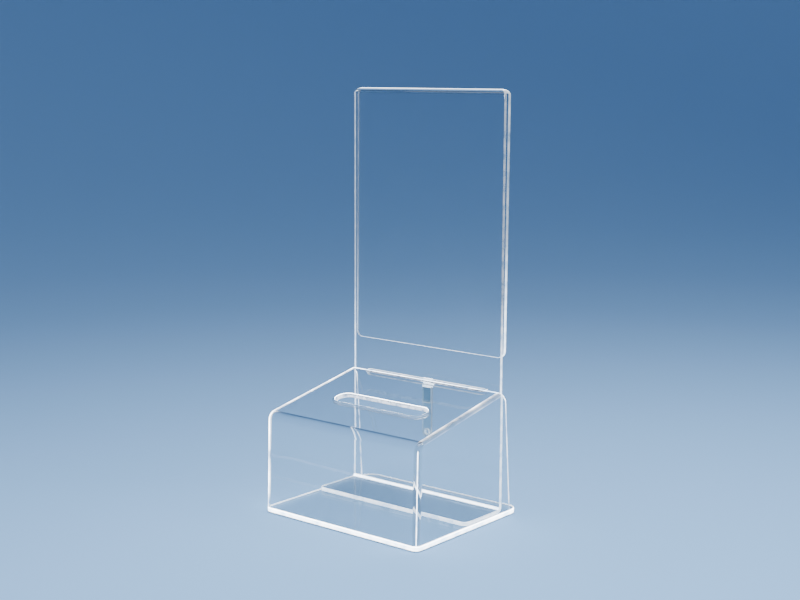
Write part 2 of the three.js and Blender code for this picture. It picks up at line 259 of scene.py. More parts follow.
def soften(mesh, width, segments=2, sharper_than=35):
    """Rounds each edge that is sharper than an angle in degrees. The new faces get the painted
    bright line.
    """
    flat = [edge for edge in mesh.edges if is_needless(edge)]
    bmesh.ops.dissolve_edges(mesh, edges=flat, use_verts=False)
    bmesh.ops.dissolve_limit(mesh, angle_limit=STRAIGHT, verts=mesh.verts, edges=mesh.edges,
                             delimit={"MATERIAL"})
    weight = mesh.edges.layers.float.new("bevel_weight_edge")
    for edge in mesh.edges:
        if edge.is_manifold and edge.calc_face_angle() > math.radians(sharper_than):
            edge.smooth = False
            edge[weight] = 1 if has_room(edge, width) else 0
    thing = scratch("softened", mesh)
    smooth(thing.data)
    step = thing.modifiers.new("soften", "BEVEL")
    step.width = width
    step.segments = segments
    step.limit_method = "WEIGHT"
    step.harden_normals = True
    step.use_clamp_overlap = False
    step.material = PAINTED_LINE
    flat_faces = thing.modifiers.new("flat_faces", "WEIGHTED_NORMAL")
    flat_faces.keep_sharp = True
    return worked_out(thing)


print("bevels ready")

# %% [markdown]
# The finishes come next, because every piece below is given them as soon as it is made. The real
# box is one clear plastic throughout, yet it has two looks. Its broad faces are nearly invisible:
# light goes straight through, and only a faint veil and a few soft reflections tell that they are
# there. Its edges are nearly white: light that entered the broad faces runs inside the sheet and
# leaves at the rim. A renderer follows too few bounces to gather all that light, so each edge
# gets a rougher plastic that passes some light, scatters some and has a glow of its own: painted
# light that stands in for the light the sheet carries to its rims.
#
# All of them need small unevenness, or they look like a drawing. Two node groups carry it. The
# first gives clear plastic its faint ripple and its dust and finger haze. The second is painted
# light: it makes a rim's colour and glow brighter in some places than in others, as light leaves
# a cut edge in streaks. A noise texture seldom reaches 0 or 1, so its middle band is stretched.

# %% Shared node groups
NOISE_BAND = (0.3, 0.7)
HAZE_BAND = (0.35, 0.75)
RIM_ROUGHNESS = (0.18, 0.42)
FLOAT, COLOR = "NodeSocketFloat", "NodeSocketColor"


def new_group(name, wanted, given):
    """A node group with inputs (label, kind, value), outputs (label, kind) and three nodes."""
    group = bpy.data.node_groups.new(name, "ShaderNodeTree")
    for label, kind, value in wanted:
        socket = group.interface.new_socket(label, in_out="INPUT", socket_type=kind)
        socket.default_value = value
    for label, kind in given:
        group.interface.new_socket(label, in_out="OUTPUT", socket_type=kind)
    inside, outside = add(group, "NodeGroupInput"), add(group, "NodeGroupOutput")
    return group, inside, outside, add(group, "ShaderNodeTexCoord")


def add(tree, kind, **values):
    """A node with its plain settings; names with a space are sockets."""
    node = tree.nodes.new(kind)
    for name, value in values.items():
        if name in node.inputs:
            node.inputs[name].default_value = value
        elif name.replace("_", " ") in node.inputs:
            node.inputs[name.replace("_", " ")].default_value = value
        else:
            setattr(node, name, value)
    return node


def join(tree, source, output, target, socket):
    tree.links.new(source.outputs[output], target.inputs[socket])


def mapped(tree, source, low, high, from_low=0.0, from_high=1.0):
    """A socket's value, moved from one range to another."""
    node = add(tree, "ShaderNodeMapRange", From_Min=from_low, From_Max=from_high,
               To_Min=low, To_Max=high)
    tree.links.new(source, node.inputs["Value"])
    return node.outputs["Result"]


def times(tree, first, second):
    product = add(tree, "ShaderNodeMath", operation="MULTIPLY")
    tree.links.new(first, product.inputs[0])
    tree.links.new(second, product.inputs[1])
    return product.outputs["Value"]


def surface_life_group():
    group, inside, outside, place = new_group(
        "surface_life",
        [("Ripple Scale", FLOAT, 22.0), ("Haze Scale", FLOAT, 60.0),
         ("Least Roughness", FLOAT, 0.02), ("Most Roughness", FLOAT, 0.1)],
        [("Height", FLOAT), ("Roughness", FLOAT), ("Haze", FLOAT)])
    ripple = add(group, "ShaderNodeTexNoise", Detail=1.0, Roughness=0.4)
    haze = add(group, "ShaderNodeTexNoise", Detail=5.0, Roughness=0.62)
    rough = add(group, "ShaderNodeMapRange", From_Min=HAZE_BAND[0], From_Max=HAZE_BAND[1])
    for noise, label in ((ripple, "Ripple Scale"), (haze, "Haze Scale")):
        join(group, place, "Object", noise, "Vector")
        join(group, inside, label, noise, "Scale")
    join(group, haze, "Fac", rough, "Value")
    join(group, inside, "Least Roughness", rough, "To Min")
    join(group, inside, "Most Roughness", rough, "To Max")
    join(group, ripple, "Fac", outside, "Height")
    join(group, rough, "Result", outside, "Roughness")
    join(group, haze, "Fac", outside, "Haze")
    return group


# Painted light: streaks between a dim and a bright colour, given out both as a rim's colour and as
# its glow.
def rim_light_group():
    group, inside, outside, place = new_group(
        "painted_rim_light",
        [("Streak Scale", FLOAT, 140.0), ("Dim", COLOR, (0.5, 0.6, 0.7, 1)),
         ("Bright", COLOR, (1, 1, 1, 1))],
        [("Color", COLOR), ("Glow", COLOR), ("Roughness", FLOAT)])
    noise = add(group, "ShaderNodeTexNoise", Detail=3.0, Roughness=0.6)
    join(group, place, "Object", noise, "Vector")
    join(group, inside, "Streak Scale", noise, "Scale")
    share = mapped(group, noise.outputs["Fac"], 0.0, 1.0, *NOISE_BAND)
    tint = add(group, "ShaderNodeMix", data_type="RGBA")
    group.links.new(share, tint.inputs["Factor"])
    join(group, inside, "Dim", tint, "A")
    join(group, inside, "Bright", tint, "B")
    join(group, tint, "Result", outside, "Color")
    join(group, tint, "Result", outside, "Glow")
    rough = mapped(group, noise.outputs["Fac"], *RIM_ROUGHNESS, *NOISE_BAND)
    group.links.new(rough, outside.inputs["Roughness"])
    return group


surface_life = surface_life_group()
painted_rim_light = rim_light_group()
print("groups:", [g.name for g in bpy.data.node_groups])

# %% [markdown]
# A clear face is a Principled shader with full transmission and the index of acrylic, 1.49. Left
# at that, a clear box would throw a black shadow, because the renderer can't find its way from
# the floor to a lamp through bent light. So the shader turns mostly see-through for shadow rays
# alone: a Light Path node tells a shadow ray from all others, and lowers Alpha for it. The camera
# still sees real refraction, and the floor gets the pale, soft shadow that clear plastic throws.

# %% Clear faces
ACRYLIC = 1.49
SHADOW_LEFT = 0.07
HAZE_SCALE = 45.0
WHITE = (1, 1, 1)


def empty_material(name):
    """A material with nothing but a Principled shader joined to its output."""
    material = bpy.data.materials.new(name)
    material.use_nodes = True
    tree = material.node_tree
    tree.nodes.clear()
    shader = add(tree, "ShaderNodeBsdfPrincipled")
    output = add(tree, "ShaderNodeOutputMaterial")
    join(tree, shader, "BSDF", output, "Surface")
    return material, tree, shader


def acrylic(name, passes=1.0, glow=0.0):
    """Clear plastic that lets a share of the light through and may have a painted glow."""
    material, tree, shader = empty_material(name)
    shader.inputs["IOR"].default_value = ACRYLIC
    shader.inputs["Transmission Weight"].default_value = passes
    shader.inputs["Emission Strength"].default_value = glow
    return material, tree, shader


def shadow_alpha(tree, shader, left=SHADOW_LEFT):
    """Lets all but a share of the light through when the shader is met by a shadow ray."""
    path = add(tree, "ShaderNodeLightPath")
    alpha = mapped(tree, path.outputs["Is Shadow Ray"], 1.0, left)
    tree.links.new(alpha, shader.inputs["Alpha"])


def placed(tree, group, **values):
    """A node group set into a material, with values for its inputs."""
    node = add(tree, "ShaderNodeGroup")
    node.node_tree = group
    for name, value in values.items():
        node.inputs[name.replace("_", " ")].default_value = value
    return node


def clear_face(name, tint, dust=WHITE, ripple=0.0006, ripple_scale=22,
               roughness=(0.0, 0.05), shadow=SHADOW_LEFT):
    """A broad face: clear, with a tint that turns to dust, a ripple and some roughness."""
    material, tree, shader = acrylic(name)
    life = placed(tree, surface_life, Ripple_Scale=ripple_scale, Haze_Scale=HAZE_SCALE,
                  Least_Roughness=roughness[0], Most_Roughness=roughness[1])
    color = add(tree, "ShaderNodeMix", data_type="RGBA", A=(*tint, 1), B=(*dust, 1))
    bump = add(tree, "ShaderNodeBump", Strength=0.5, Distance=ripple)
    join(tree, life, "Haze", color, "Factor")
    join(tree, color, "Result", shader, "Base Color")
    join(tree, life, "Roughness", shader, "Roughness")
    join(tree, life, "Height", bump, "Height")
    join(tree, bump, "Normal", shader, "Normal")
    shadow_alpha(tree, shader, left=shadow)
    return material


print("clear faces ready")

# %% [markdown]
# The painted glow needs limits, or it gives itself away. The walls would mirror every lit edge as
# a line, and a halo would lie on the floor round the box. On the real box neither is seen, as its
# edges only pass on light that is there anyway. The Light Path node tells by which way a ray came:
# the full glow is kept for rays that the eye sends straight or through clear walls, and a small
# share for all others. On the tall sheet the painted glow also changes with height, so one more
# helper multiplies it by a value that falls between two heights.

# %% Limits of the painted glow
GLOW_LEFT = 0.1


def faded(tree, strength, low, high, left):
    """A strength that falls from its full value at the height low to a share of it at high."""
    place = add(tree, "ShaderNodeTexCoord")
    height = add(tree, "ShaderNodeSeparateXYZ")
    join(tree, place, "Object", height, "Vector")
    return times(tree, mapped(tree, height.outputs["Z"], 1.0, left, low, high), strength)


def seen_plainly(tree, strength):
    """A strength of which only a share is left where it is mirrored or lights other things."""
    path = add(tree, "ShaderNodeLightPath")
    to_eye = add(tree, "ShaderNodeMath", operation="MAXIMUM")
    join(tree, path, "Is Camera Ray", to_eye, 0)
    join(tree, path, "Is Transmission Ray", to_eye, 1)
    unmirrored = mapped(tree, path.outputs["Glossy Depth"], 1.0, 0.0)
    plainly = times(tree, to_eye.outputs["Value"], unmirrored)
    return times(tree, mapped(tree, plainly, GLOW_LEFT, 1.0), strength)


def paint_glow(tree, shader, rim, strength):
    """Gives a shader the painted, streaky glow of the rim group, times a strength."""
    glowing = add(tree, "ShaderNodeVectorMath", operation="SCALE")
    join(tree, rim, "Glow", glowing, 0)
    tree.links.new(strength, glowing.inputs["Scale"])
    join(tree, glowing, "Vector", shader, "Emission Color")


print("glow limits ready")

# %% [markdown]
# A cut or rounded edge is seen from two sides. From outside it is the pale, streaky strip of
# painted glow that draws the box's outline. From within the plastic, through a broad face, it is
# smooth and clear, and its painted glow is weaker. The Backfacing output of the Geometry node
# tells the two apart, so it mixes the colour, lowers the roughness and takes the painted glow down
# to its inner share.

# %% Cut edges with a painted glow
SMOOTH_INSIDE = 0.1


def painted_glow_rim(name, dim, bright, glow, passes=0.9, streaks=140.0, inner=0.3, fade=None, shadow=0.5):
    """An edge with a painted glow from dim to bright, in streaks. passes is how much light goes
    through, inner the painted glow's share from within, and fade holds the last three values of
    faded."""
    material, tree, shader = acrylic(name, passes, glow)
    rim = placed(tree, painted_rim_light, Streak_Scale=streaks, Dim=(*dim, 1), Bright=(*bright, 1))
    inside = add(tree, "ShaderNodeNewGeometry").outputs["Backfacing"]
    color = add(tree, "ShaderNodeMix", data_type="RGBA", B=(*WHITE, 1))
    tree.links.new(inside, color.inputs["Factor"])
    join(tree, rim, "Color", color, "A")
    join(tree, color, "Result", shader, "Base Color")
    rough = times(tree, rim.outputs["Roughness"], mapped(tree, inside, 1.0, SMOOTH_INSIDE))
    tree.links.new(rough, shader.inputs["Roughness"])
    strength = seen_plainly(tree, mapped(tree, inside, 1.0, inner))
    if fade:
        strength = faded(tree, strength, *fade)
    paint_glow(tree, shader, rim, strength)
    shadow_alpha(tree, shader, left=shadow)
    return material


print("cut edges ready")

# %% [markdown]
# Where the case or the sheet is bent, nothing is cut, and the corner is as clear as the walls. But
# the eye looks through more and more plastic as the corner turns away, and there it shines. That
# shine is a painted glint: the Layer Weight node gives the turn as a number, which sets a glow. The
# number is stretched, and raised to a power where the painted line should be narrow.

# %% Rounded corners with a painted glint
CORNER_ROUGHNESS = 0.04


def painted_glint_corner(name, dim, bright, glow, low, high, curve, streaks=90.0):
    """A rounded corner: clear where it is seen square on, with a painted glint where it turns away.
    """
    material, tree, shader = acrylic(name, glow=glow)
    shader.inputs["Roughness"].default_value = CORNER_ROUGHNESS
    rim = placed(tree, painted_rim_light, Streak_Scale=streaks, Dim=(*dim, 1), Bright=(*bright, 1))
    turned = add(tree, "ShaderNodeLayerWeight", Blend=0.5)
    share = mapped(tree, turned.outputs["Facing"], 0.0, 1.0, low, high)
    curved = add(tree, "ShaderNodeMath", operation="POWER")
    curved.inputs[1].default_value = curve
    tree.links.new(share, curved.inputs[0])
    paint_glow(tree, shader, rim, seen_plainly(tree, curved.outputs["Value"]))
    shadow_alpha(tree, shader)
    return material


print("rounded corners ready")

# %% [markdown]
# Each piece gets a row of finishes in the order of the face numbers. The case has one more for
# its deposit slot's edge, whose painted glow is strongest of all. The painted glow on the tall
# sheet's rims fades out above the case, and the pocket flap's rim has its brightest painted glow
# near its lower end. The sheet's own slot is filled by the tongue and gets hardly any painted glow.
# The base plate has a painted glow all round its sides, but the edge that touches the counter has
# a nearly black finish of painted shade. The strap is a little smoky.

# %% Finishes of the pieces
PALE_BLUE = (0.3, 0.45, 0.65)
FLAP_BLUE = (0.30, 0.45, 0.62)
SMOKE, DARK_SMOKE = (0.55, 0.66, 0.62), (0.26, 0.36, 0.34)
SMOKY_ROUGHNESS = (0.1, 0.25)
OPAQUE = 1.0

# Apart from the clear faces, every finish here is painted light: glow on rims and lines, glint on
# rounded corners, and one of painted shade.
moulded_finish = (
    clear_face("moulded_face", (0.965, 0.98, 0.985)),
    painted_glow_rim("moulded_rim_painted_glow", (0.08, 0.14, 0.24), WHITE, glow=2.6, streaks=200.0, inner=0.06),
    painted_glow_rim("moulded_painted_line", PALE_BLUE, WHITE, glow=8.0, inner=0.4),
    painted_glint_corner("moulded_corner_painted_glint", (0.03, 0.06, 0.11), WHITE, glow=14.0, streaks=60.0,
                 low=0.25, high=0.7, curve=1.7),
    painted_glow_rim("moulded_slot_painted_line", (0.6, 0.75, 0.9), WHITE, glow=20.0, inner=0.7))
sheet_finish = (
    clear_face("sheet_face", (0.97, 0.98, 0.985), ripple=0.0004, ripple_scale=12),
    # The sheet's painted glow is full low down and falls to a share of it higher up.
    painted_glow_rim("sheet_rim_painted_glow", (0.25, 0.4, 0.62), (0.9, 0.95, 1), glow=3.6, inner=0.7,
            fade=(0.10, 0.15, 0.2)),
    painted_glow_rim("sheet_painted_line", (0.5, 0.66, 0.85), WHITE, glow=7.0, inner=0.5, fade=(0.10, 0.15, 0.4)),
    painted_glint_corner("sheet_bend_painted_glint", (0.55, 0.70, 0.85), WHITE, glow=7.0, low=0.2, high=0.8, curve=5.0),
    painted_glow_rim("pocket_flap_rim_painted_glow", FLAP_BLUE, (0.85, 0.93, 1), glow=5.0, inner=0.1,
            fade=(0.13, 0.19, 0.2)),
    painted_glow_rim("sheet_slot_rim_painted_glow", FLAP_BLUE, (0.75, 0.85, 0.95), glow=0.8, inner=0.03))
plate_finish = (
    clear_face("plate_face", (0.96, 0.975, 0.98), shadow=0.45),
    painted_glow_rim("plate_rim_painted_glow", PALE_BLUE, WHITE, glow=9.0, streaks=90.0, shadow=OPAQUE),
    painted_glow_rim("plate_painted_line", (0.7, 0.8, 0.9), WHITE, glow=12.0, inner=0.5, shadow=OPAQUE),
    # Painted shade: a dark, nearly opaque finish for the plate's lower edge where it meets the
    # counter.
    painted_glow_rim("plate_under_edge_painted_shade", (0.02, 0.03, 0.05), (0.04, 0.06, 0.09), glow=0.1, passes=0.1,
            shadow=OPAQUE))
strap_finish = (
    clear_face("strap_strip", SMOKE, (0.85, 0.92, 0.88), roughness=SMOKY_ROUGHNESS),
    painted_glow_rim("strap_rim_painted_glow", (0.3, 0.38, 0.44), (0.6, 0.7, 0.75), glow=0.15),
    painted_glow_rim("strap_painted_line", (0.4, 0.5, 0.56), (0.9, 0.95, 1), glow=1.6, inner=0.6),
    clear_face("strap_head", DARK_SMOKE, SMOKE, roughness=SMOKY_ROUGHNESS),
    painted_glint_corner("strap_knuckle_painted_glint", (0.4, 0.6, 0.8), WHITE, glow=6.0, low=0.05, high=0.4,
                 curve=1.0))
print("materials:", len(bpy.data.materials))

# %% [markdown]
# A finished piece needs the same few steps each time: out of millimetres into the frame, smooth
# shading, its finishes, a ride on its body, and hiding the CAD solid that it stands for. One
# function does them all and prints the size.

# %% Finishing a piece
pieces = []


def finish_piece(mesh, name, body, node, finishes):
    """Turns a mesh in millimetres into a piece of the scene that rides on its body."""
    data = bpy.data.meshes.new(name)
    mesh.to_mesh(data)
    mesh.free()
    data.transform(TO_FRAME)
    for material in finishes:
        data.materials.append(material)
    smooth(data)
    piece = into_scene(name, data)
    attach(piece, body)
    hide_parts(node)
    pieces.append(piece)
    low = [min(v.co[i] for v in data.vertices) for i in range(3)]
    high = [max(v.co[i] for v in data.vertices) for i in range(3)]
    size = [round((b - a) / MM, 2) for a, b in zip(low, high)]
    print(name, "faces", len(data.polygons), "size in mm", size)


print("ready to make pieces")

# %% [markdown]
# The base plate is the simplest piece: clear sheet, 3.5 mm thick, with small round corners in
# front and larger ones behind. Its outline is four arcs. Seen from the side such a plate is a
# bright bar, since all four cut sides glow, so every face that looks sideways is a rim with a
# painted glow. Its upper edge gets the painted bright line. Its lower edge gets painted shade, a
# nearly black finish in place of a corner's, because hardly any light reaches the narrow wedge
# between that edge and the counter. The front corners have few steps, so that each step is long
# enough for the bevel.

# %% Base plate
FRONT_CORNER, REAR_CORNER, PLATE_EDGE = 4, 8.5, 0.6
FEW_STEPS = 8
PAINTED_SHADE_EDGE = CORNER
LOOKS_UP, LOOKS_SIDEWAYS = 0.98, 0.1


def plate_outline(half, front, rear):
    front_y, rear_y = front + FRONT_CORNER, rear - REAR_CORNER
    return (arc(half - FRONT_CORNER, front_y, FRONT_CORNER, -90, 0, FEW_STEPS)
            + arc(half - REAR_CORNER, rear_y, REAR_CORNER, 0, 90)
            + arc(REAR_CORNER - half, rear_y, REAR_CORNER, 90, 180)
            + arc(FRONT_CORNER - half, front_y, FRONT_CORNER, 180, 270, FEW_STEPS))


half_plate = plate_high[0] / MM
plate_front, plate_rear = ((y - SHEET_PLANE) / MM for y in (plate_low[1], plate_high[1]))
plate_bottom = (plate_low[2] - PLATE_TOP) / MM
plate = prism(plate_outline(half_plate, plate_front, plate_rear), "z", plate_bottom, 0)
plate = soften(plate, PLATE_EDGE, segments=3, sharper_than=50)
# Top and bottom stay clear; sideways faces get the painted glow, the upper bevel the painted line,
# the lower bevel the painted shade.
for face in plate.faces:
    up = face.normal.z
    if abs(up) > LOOKS_UP:
        face.material_index = FACE
    elif abs(up) < LOOKS_SIDEWAYS:
        face.material_index = RIM
    else:
        face.material_index = PAINTED_LINE if up > 0 else PAINTED_SHADE_EDGE
finish_piece(plate, "clear_base_plate", "case", "base_plate", plate_finish)

# %% [markdown]
# The case is one moulding, and its corners are what make it look moulded: the front wall rolls
# over into the sloping top, and both roll into the sides. A box with a bevel can't do that, since
# the corner radii differ. So the case is drawn as a row of side views. The middle ones are full
# size. Towards each side they draw in along a quarter circle, by the vertical corner's radius on
# the front wall and by the roof edge's smaller radius on the top. The hollow is the same row, set
# in by the thickness, and is cut out of the outer form.

# %% Side view of the case
WALL = 1.5
CASE_FRONT = -92.4
FRONT_DRAFT, SIDE_DRAFT = math.radians(1.3), math.radians(0.15)
BEND_RADIUS, CORNER_RADIUS, ROOF_EDGE_RADIUS = 7, 4, 3
RIDGE_RADIUS, SHOULDER_RADIUS = 2.5, 3
SHOULDER_DROP, SHOULDER_REACH, TAIL_REACH = 6.45, 2.2, 8.3
CORNER_STEPS = 10
roof_end = -(SHEET_BACK + GAP)
front_top_y = CASE_FRONT + FRONT_HEIGHT * math.tan(FRONT_DRAFT)
ROOF_SLOPE = math.atan2(RIDGE_HEIGHT - FRONT_HEIGHT, roof_end - front_top_y)
print("roof slope", round(math.degrees(ROOF_SLOPE), 2), "degrees")


def half_width(height):
    """Half the case's width at a height: the sheet, its play, the wall and the draft."""
    return PANEL_WIDTH / 2 + GAP + WALL + (RIDGE_HEIGHT - height) * math.tan(SIDE_DRAFT)


def rounded(before, corner, after, radius, steps):
    """Points of an arc that rounds the corner between two straight runs."""
    inward, onward = (before - corner).normalized(), (after - corner).normalized()
    half = math.acos(inward.dot(onward)) / 2
    centre = corner + (inward + onward).normalized() * (radius / math.sin(half))
    start = corner + inward * (radius / math.tan(half)) - centre
    turn = math.copysign(math.pi - 2 * half, onward.cross(inward))
    return [centre + Matrix.Rotation(turn * i / steps, 2) @ start for i in range(steps + 1)]


def meeting(point, way, other, other_way):
    """Where a line through a point meets another line."""
    along = (other - point).cross(other_way) / way.cross(other_way)
    return point + way * along


def side_view(front_in, roof_in, side_in, edge_share, corner, hollow):
    """One outline of the case across its width, as points in x, y and z."""
    up = Vector((math.sin(FRONT_DRAFT), math.cos(FRONT_DRAFT)))
    back = Vector((math.cos(ROOF_SLOPE), math.sin(ROOF_SLOPE)))
    front = Vector((CASE_FRONT + front_in / math.cos(FRONT_DRAFT), 0))
    roof = Vector((front_top_y, FRONT_HEIGHT - roof_in / math.cos(ROOF_SLOPE)))
    front_top = meeting(front, up, roof, back)
    floor = -OVERRUN if hollow else 0
    front_foot = front + up * (floor / up.y)
    bend = BEND_RADIUS - (front_in + roof_in) / 2
    tail = Vector((SHEET_BACK + TAIL_REACH, floor))
    shoulder = Vector((SHEET_BACK + SHOULDER_REACH, RIDGE_HEIGHT - SHOULDER_DROP))
    ridge = Vector((roof_end, RIDGE_HEIGHT))
    if hollow:
        tail.x += OVERRUN
        rear = [tail, meeting(tail, Vector((0, 1)), roof, back)]
    else:
        crest = meeting(ridge, shoulder - ridge, roof, back)
        rear = [tail, *rounded(tail, shoulder, crest, SHOULDER_RADIUS, CORNER_STEPS),
                *rounded(shoulder, crest, front_top, RIDGE_RADIUS, CORNER_STEPS)]
    bend_points = rounded(rear[-1], front_top, front_foot, bend, ARC_STEPS)
    points = []
    for index, point in enumerate([*rear, *bend_points, front_foot]):
        past = min(max((index - len(rear)) / ARC_STEPS, 0), 1)
        edge = corner["roof"] + (corner["front"] - corner["roof"]) * past
        points.append(Vector((half_width(point.y) - side_in - edge * edge_share, *point)))
    return points


# %% [markdown]
# With one side view ready, the whole form is a loop over the quarter circle and its mirror image.
# At the back a wide block is taken out, so that the tall sheet can slide down between the side
# walls. The slot for the slips is a long hole with full round ends, cut square to the sloping top.
# A moulded slot has a lip turned down all round it, so a slightly larger bar is joined on under
# the top first, and the slot's own bar is then cut through both. The upright corners in front
# get a painted bright line down their middle, where the face looks halfway between front and side.

# %% Case form and its cuts
HALFWAY_SPAN, UPRIGHT, SIDE_FACE = 0.12, 0.1, 0.99
HAIR = 0.01


def case_form(hollow):
    """The case's outer form, or the hollow inside it."""
    inset = WALL if hollow else 0
    corner = {"front": CORNER_RADIUS - inset, "roof": ROOF_EDGE_RADIUS - inset}
    right = []
    for step in range(CORNER_STEPS + 1):
        angle = math.pi / 2 * step / CORNER_STEPS
        draw_in = 1 - math.sin(angle)
        right.append(side_view(inset + corner["front"] * draw_in, inset + corner["roof"] * draw_in,
                               inset, 1 - math.cos(angle), corner, hollow))
    left = [[Vector((-p.x, p.y, p.z)) for p in view] for view in right]
    form = skin(left + right[::-1])
    straight_part = min(view.x for view in right[-1]) - HAIR
    for face in form.faces:
        across, aside = abs(face.calc_center_median().x), abs(face.normal.x)
        upright = face.normal.y < 0 and abs(face.normal.z) < UPRIGHT
        # Rounded corners take the corner finish with its painted glint; on the outer form, the
        # strip halfway round each front corner takes a painted bright line.
        if across > straight_part and aside < SIDE_FACE:
            halfway = upright and -HALFWAY_SPAN < aside + face.normal.y < 0
            face.material_index = PAINTED_LINE if halfway and not hollow else CORNER
    return form


DEPOSIT_LENGTH, DEPOSIT_WIDTH, DEPOSIT_SETBACK = 78.4, 14.5, 42
LIP_DEPTH, LIP_THICK = 3.3, 1.4
deposit_half = (DEPOSIT_LENGTH - DEPOSIT_WIDTH) / 2
deposit_middle = Vector((0, front_top_y + DEPOSIT_SETBACK,
                         FRONT_HEIGHT + DEPOSIT_SETBACK * math.tan(ROOF_SLOPE)))
DEPOSIT_PLACE = Matrix.Translation(deposit_middle) @ Matrix.Rotation(ROOF_SLOPE, 4, "X")


def deposit_bar(margin, low, high, finish):
    """A long bar with round ends, square to the top, between two heights above its face."""
    radius = DEPOSIT_WIDTH / 2 + margin
    outline = (arc(deposit_half, 0, radius, -90, 90, 2 * ARC_STEPS)
               + arc(-deposit_half, 0, radius, 90, 270, 2 * ARC_STEPS))
    bar = prism(outline, "z", low, high, finish)
    bar.transform(DEPOSIT_PLACE)
    return bar


case = carve(case_form(False), case_form(True))
inner_half = half_width(RIDGE_HEIGHT) - WALL
way_in = block((-inner_half, roof_end, RIDGE_HEIGHT - FRONT_HEIGHT),
               (inner_half, SHEET_BACK + TAIL_REACH + OVERRUN, RIDGE_HEIGHT + OVERRUN))
case = carve(case, way_in)
case = carve(case, deposit_bar(LIP_THICK, -LIP_DEPTH, -WALL / 2, FACE), "UNION")
case = carve(case, deposit_bar(0, -LIP_DEPTH - OVERRUN, OVERRUN, RIM))
print("case faces", len(case.faces))

# %% [markdown]
# At the ridge the case has a flat tongue that the tall sheet's slot drops over, and on it two
# round ears that hold the latch's pin. They are drawn as their own small solids and joined. The
# notch between the ears, where the latch hangs, is cut last, so it goes through all of them.

# %% Tongue, ears and notch
TONGUE_WIDTH, TONGUE_THICK, TONGUE_REACH, TONGUE_CORNER, TONGUE_ROOT = 104, 2, 3.5, 1.5, 2
TONGUE_DROP = 0.6
tongue_top = RIDGE_HEIGHT - TONGUE_DROP
tongue_under = tongue_top - TONGUE_THICK
SLOT_LIFT, SLOT_DROP = 0.7, 2.6
slot_top, slot_bottom = tongue_top + SLOT_LIFT, tongue_under - SLOT_DROP
LATCH_WIDTH, LATCH_LENGTH, HEAD_LENGTH = 7.9, 41.2, 16.1
HEAD_THICK, STRIP_THICK, KNUCKLE = 2.4, 1.5, 2.3
PIN, EAR_THICK, EAR_WALL, NOTCH_GAP = 0.8, 1.7, 1, 0.5
KNUCKLE_GAP, SIDE_OVERRUN = 0.4, 1
pin_y = SHEET_BACK + KNUCKLE_GAP + KNUCKLE
pin_z = slot_bottom + GAP + KNUCKLE
bore = PIN + GAP
notch_half = LATCH_WIDTH / 2 + NOTCH_GAP
ear_outer = notch_half + EAR_THICK


def tongue_outline():
    half, tip = TONGUE_WIDTH / 2, SHEET_BACK + TONGUE_REACH
    root, bend = roof_end - TONGUE_ROOT, tip - TONGUE_CORNER
    return ([(-half, root), (half, root)]
            + arc(half - TONGUE_CORNER, bend, TONGUE_CORNER, 0, 90, FEW_STEPS)
            + arc(TONGUE_CORNER - half, bend, TONGUE_CORNER, 90, 180, FEW_STEPS))


ridge_work = prism(tongue_outline(), "z", tongue_under, tongue_top, RIM)
for face in ridge_work.faces:
    if abs(face.normal.z) > LOOKS_UP:
        face.material_index = FACE
for side in (-1, 1):
    near, far = sorted((side * notch_half, side * ear_outer))
    ridge_work = carve(ridge_work, disc("x", pin_y, pin_z, bore + EAR_WALL, near, far), "UNION")
ear_cut = ear_outer + SIDE_OVERRUN
ridge_work = carve(ridge_work, disc("x", pin_y, pin_z, bore, -ear_cut, ear_cut, RIM))
case = carve(case, ridge_work, "UNION")
notch = block((-notch_half, pin_y - KNUCKLE - NOTCH_GAP, slot_bottom),
              (notch_half, pin_y + OVERRUN, slot_top))
case = carve(case, notch)
print("case with tongue and ears, faces", len(case.faces))

# %% [markdown]
# The top's rear edge is a rounded bead that shines all along the ridge, so a narrow strip of the
# top is marked off there for a painted bright line. Softening then gives every sharp edge such a
# painted line, which is more than the photograph shows. Those round the outside and the foot of
# the slot's lip and under the tongue turn clear again, and the slot's own edge gets the brightest
# painted line of all.

# %% Painted lines along the case's edges
CASE_EDGE, RIDGE_LINE = 0.2, 2.2
LIP_ZONE, TONGUE_ZONE, TONGUE_FRONT = 2, 0.5, -5
BEAD_LOOKS_UP = 0.9


def beyond_slot(point):
    """How far a point lies outside the deposit slot's outline, measured along the top."""
    across, along, _ = DEPOSIT_PLACE.inverted() @ point
    return math.hypot(max(abs(across) - deposit_half, 0), along) - DEPOSIT_WIDTH / 2


def is_clear_edge(point):
    """True on the edges that the photograph doesn't show as lines."""
    depth = -(DEPOSIT_PLACE.inverted() @ point).z
    in_lip_zone = beyond_slot(point) < LIP_ZONE
    on_lip = in_lip_zone and (beyond_slot(point) > LIP_THICK / 2 or depth > LIP_DEPTH / 2)
    along_tongue = abs(point.x) < TONGUE_WIDTH / 2 + TONGUE_ZONE and point.y > TONGUE_FRONT
    under = tongue_under - TONGUE_ZONE < point.z < tongue_top - TONGUE_THICK / 2
    return on_lip or (along_tongue and under)


everything = case.verts[:] + case.edges[:] + case.faces[:]
bmesh.ops.bisect_plane(case, geom=everything, plane_co=(0, roof_end - RIDGE_LINE, 0),
                       plane_no=(0, 1, 0))
for face in case.faces:
    centre = face.calc_center_median()
    at_ridge = roof_end - RIDGE_LINE < centre.y < roof_end and centre.z > tongue_top
    if at_ridge and abs(centre.x) < inner_half and face.normal.z > BEAD_LOOKS_UP:
        face.material_index = PAINTED_LINE
case = soften(case, CASE_EDGE)
for face in [face for face in case.faces if face.material_index == PAINTED_LINE]:
    centre = face.calc_center_median()
    if is_clear_edge(centre):
        face.material_index = FACE
    elif beyond_slot(centre) < LIP_THICK / 2:
        face.material_index = EXTRA
finish_piece(case, "moulded_case", "case", "case_shell", moulded_finish)

